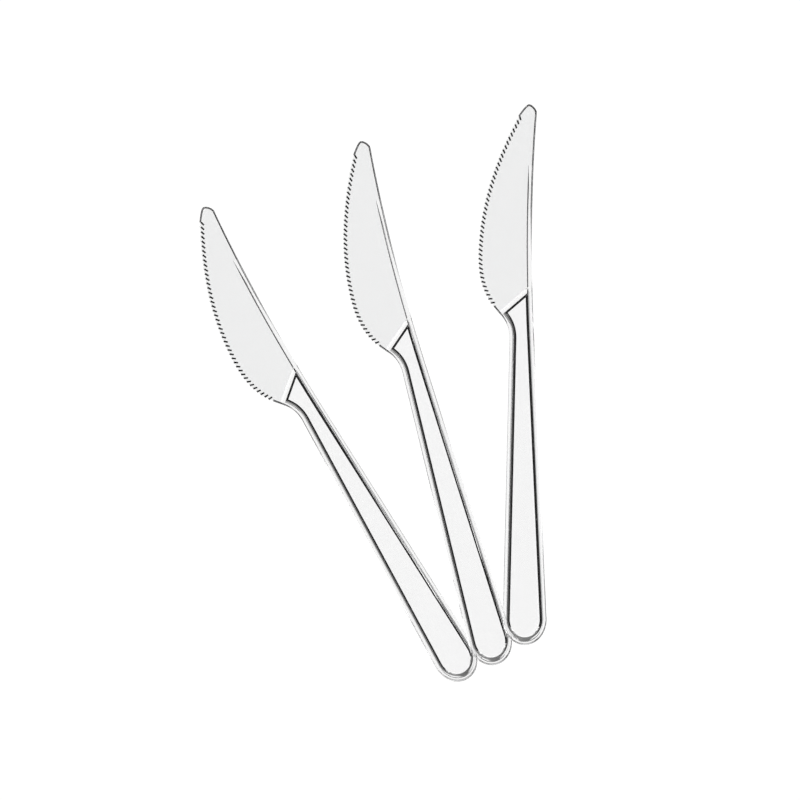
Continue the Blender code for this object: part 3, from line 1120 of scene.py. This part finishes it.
    def pose_of(self, node: str) -> Matrix:
        """Where the frame has a knife, from the two points of its solid that are furthest apart.

        Args:
            node: The solid's name.

        Returns:
            The matrix from the knife's own frame to the row's.
        """
        section = self.section
        outline = replace(self.plan, fineness=Fineness(tip=SOLID_TIP_STEPS)).tip_curve()
        far = max(outline, key=lambda point: point.length)
        own_end = Vector((0, 0, SOLID_END_BEVEL * math.tan(section.root_slope)))
        own_tip = Vector((*far, section.depth - section.edge_round))
        points = np.array([vertex.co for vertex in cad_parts[node].data.vertices])
        apart = np.linalg.norm(points[:, None] - points[None], axis=2)
        pair = np.unravel_index(int(apart.argmax()), apart.shape)
        low, high = sorted((Vector(points[index]) for index in pair), key=lambda point: point.y)
        own = own_tip - own_end
        real = high - low
        tilt = math.asin(real.z / math.hypot(own.y, own.z)) - math.atan2(own.z, own.y)
        level_own = Matrix.Rotation(tilt, 3, "X") @ own
        turn = math.atan2(real.y, real.x) - math.atan2(level_own.y, level_own.x)
        rotation = Matrix.Rotation(turn, 4, "Z") @ Matrix.Rotation(tilt, 4, "X")
        return Matrix.Translation(low - rotation @ own_end) @ rotation


class KnifeFan:
    """The knives, each laid where the frame has its solid."""

    def __init__(self, knife: MouldedKnife) -> None:
        """Keep the knife that is repeated."""
        self.knife = knife
        self.poses = {node: knife.pose_of(node) for node in sorted(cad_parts)}

    def fit(self) -> Matrix:
        """A shrinking by a hair about the knife's middle, which keeps fine curves inside the solid's box."""
        middle = Matrix.Translation((0, self.knife.plan.tip_y / 2, 0))
        return middle @ Matrix.Scale(1 - HAIR, 4) @ middle.inverted()

    def build(self, plastic: bpy.types.Material) -> None:
        """Make every knife and let it stand for its solid.

        Args:
            plastic: The material of them all.
        """
        mesh = self.knife.build(plastic)
        log.info("one knife has %d faces", len(mesh.polygons))
        for node, pose in self.poses.items():
            placed = mesh.copy()
            placed.transform(pose @ self.fit())
            piece = linked(f"{node}_moulding", placed)
            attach(piece, BODY)
            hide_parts(node)
            log.info("%s stands for %s", piece.name, node)


@dataclass(frozen=True)
class Studio:
    """The white table, the dark cards round it, the lamps and the light of the room."""

    table_half: float = 3.0
    table_colour: float = 0.93
    table_white: float = 1.08
    table_roughness: float = 0.9
    table_specular: float = 0.1
    shadow_share: float = 0.1
    sheen_index: float = 1.5
    sheen_roughness: float = 0.1
    card_distance: float = 0.62
    card_height: float = 0.45
    card_greys: tuple[float, ...] = (0.02, 0.02, 0.12, 0.35, 0.12, 0.02, 0.08, 0.12, 0.2, 0.24, 0.16, 0.04)
    zenith: float = 0.015
    ring: float = 1.4
    ring_stops: tuple[float, float, float, float] = (0.45, 0.6, 0.86, 0.93)
    lamp_size: float = 1.2
    lamp_height: float = 1.3
    lamp_side: float = 0.9
    lamp_along: float = 0.25
    lamp_watts: float = 3.0

    def build(self) -> None:
        """Set everything up."""
        self.table()
        self.cards()
        self.lamps()
        self.room_light()

    def table_finish(self) -> bpy.types.Material:
        """White to the eye and through the plastic, still matt enough to hold a shadow, glossy at a glance.

        Returns:
            The table's material.
        """
        material, tree = material_tree("table")
        matt = tree.nodes["Principled BSDF"]
        matt.inputs["Base Color"].default_value = (self.table_colour, self.table_colour, self.table_colour, 1)
        matt.inputs["Roughness"].default_value = self.table_roughness
        matt.inputs["Specular IOR Level"].default_value = self.table_specular
        path = add(tree, "ShaderNodeLightPath")
        either, seen, share, seen_at_a_glance = (add(tree, "ShaderNodeMath") for _ in range(4))
        either.operation = seen.operation = "MAXIMUM"
        share.operation = seen_at_a_glance.operation = "MULTIPLY"
        share.inputs[1].default_value = 1 - self.shadow_share
        white = add(tree, "ShaderNodeEmission", {"Strength": self.table_white})
        mix = add(tree, "ShaderNodeMixShader")
        sheen = add(tree, "ShaderNodeBsdfGlossy", {"Roughness": self.sheen_roughness})
        glance = add(tree, "ShaderNodeFresnel", {"IOR": self.sheen_index})
        shiny = add(tree, "ShaderNodeMixShader")
        wire(tree, (path, "Is Camera Ray", either, 0), (path, "Is Glossy Ray", either, 1),
             (either, 0, seen, 0), (path, "Is Transmission Ray", seen, 1), (seen, 0, share, 0),
             (share, 0, mix, "Fac"), (matt, "BSDF", mix, 1), (white, "Emission", mix, 2),
             (glance, "Fac", seen_at_a_glance, 0), (path, "Is Transmission Ray", seen_at_a_glance, 1),
             (seen_at_a_glance, 0, shiny, "Fac"), (mix, "Shader", shiny, 1), (sheen, "BSDF", shiny, 2),
             (shiny, "Shader", tree.nodes["Material Output"], "Surface"))
        return material

    def table(self) -> None:
        """The table that the knives lie on."""
        half = self.table_half
        mesh = bpy.data.meshes.new("table")
        mesh.from_pydata([(-half, -half, 0), (half, -half, 0), (half, half, 0), (-half, half, 0)], [],
                         [(0, 1, 2, 3)])
        mesh.materials.append(self.table_finish())
        linked("table", mesh)

    def cards(self) -> None:
        """Dark cards that stand round the knives, outside the picture, in a grey for each direction."""
        count = len(self.card_greys)
        corners = []
        for index in range(count):
            angle = 2 * math.pi * index / count
            corners.append(Vector((math.cos(angle), math.sin(angle), 0)) * self.card_distance)
        up = Vector((0, 0, self.card_height))
        mesh = bpy.data.meshes.new("cards")
        faces = [(i, (i + 1) % count, (i + 1) % count + count, i + count) for i in range(count)]
        mesh.from_pydata(corners + [corner + up for corner in corners], [], faces)
        greys = mesh.attributes.new("grey", "FLOAT", "POINT")
        greys.data.foreach_set("value", self.card_greys * 2)
        mesh.materials.append(self.card_paint())
        cards = linked("cards", mesh)
        cards.visible_camera = False

    def card_paint(self) -> bpy.types.Material:
        """A material that shows each card's own grey however it is lit.

        Returns:
            The cards' material.
        """
        material, tree = material_tree("card")
        tree.nodes.remove(tree.nodes["Principled BSDF"])
        grey = add(tree, "ShaderNodeAttribute")
        grey.attribute_name = "grey"
        shown = add(tree, "ShaderNodeEmission")
        wire(tree, (grey, "Fac", shown, "Color"),
             (shown, "Emission", tree.nodes["Material Output"], "Surface"))
        return material

    def lamps(self) -> None:
        """A large soft lamp on either side."""
        for name, side in (("lamp_left", -1), ("lamp_right", 1)):
            data = bpy.data.lights.new(name, "AREA")
            data.shape = "SQUARE"
            data.size = self.lamp_size
            data.energy = self.lamp_watts
            lamp = linked(name, data)
            lamp.location = (side * self.lamp_side, self.lamp_along, self.lamp_height)
            lamp.rotation_euler = (-lamp.location).to_track_quat("-Z", "Y").to_euler()

    def room_light(self) -> None:
        """A ring of white light half-way up, dark below it and dim overhead."""
        world = bpy.data.worlds.new("room")
        world.use_nodes = True
        tree = world.node_tree
        background = tree.nodes["Background"]
        background.inputs["Strength"].default_value = self.ring
        place = add(tree, "ShaderNodeTexCoord")
        split = add(tree, "ShaderNodeSeparateXYZ")
        ramp = add(tree, "ShaderNodeValToRGB")
        levels = (0.0, 1.0, 1.0, self.zenith / self.ring)
        ramp.color_ramp.elements.remove(ramp.color_ramp.elements[1])
        for index, (stop, level_) in enumerate(zip(self.ring_stops, levels)):
            item = ramp.color_ramp.elements.new(stop) if index else ramp.color_ramp.elements[0]
            item.position = stop
            item.color = (level_, level_, level_, 1)
        wire(tree, (place, "Generated", split, "Vector"), (split, "Z", ramp, "Fac"),
             (ramp, "Color", background, "Color"))
        bpy.context.scene.world = world


@dataclass(frozen=True)
class PhotoCamera:
    """A long lens looking straight down, framed as the photograph is."""

    pixels: int = 800
    scale: float = 0.352 * MM
    end_pixel: tuple[float, float] = (496.2, 663.8)
    lens: float = 200.0

    def build(self, middle: Matrix) -> None:
        """Make the camera.

        Args:
            middle: Where the middle knife lies, whose handle ends at end_pixel.
        """
        data = bpy.data.cameras.new("camera")
        data.lens = self.lens
        camera = linked("camera", data)
        centre = self.pixels / 2
        end = middle.translation
        across = end.x + (centre - self.end_pixel[0]) * self.scale
        along = end.y + (self.end_pixel[1] - centre) * self.scale
        width = self.pixels * self.scale
        camera.location = (across, along, width * self.lens / data.sensor_width)
        bpy.context.scene.camera = camera


def main() -> None:
    """Build the knives, the studio and the camera."""
    logging.basicConfig(level=logging.INFO, format="%(message)s")
    bpy.context.scene.view_settings.view_transform = "Standard"
    fan = KnifeFan(MouldedKnife(KnifePlan(), KnifeSection(), Teeth()))
    fan.build(ClearPlastic().build())
    Studio().build()
    PhotoCamera().build(fan.poses["knife_middle"])


if __name__ == "__main__":
    main()
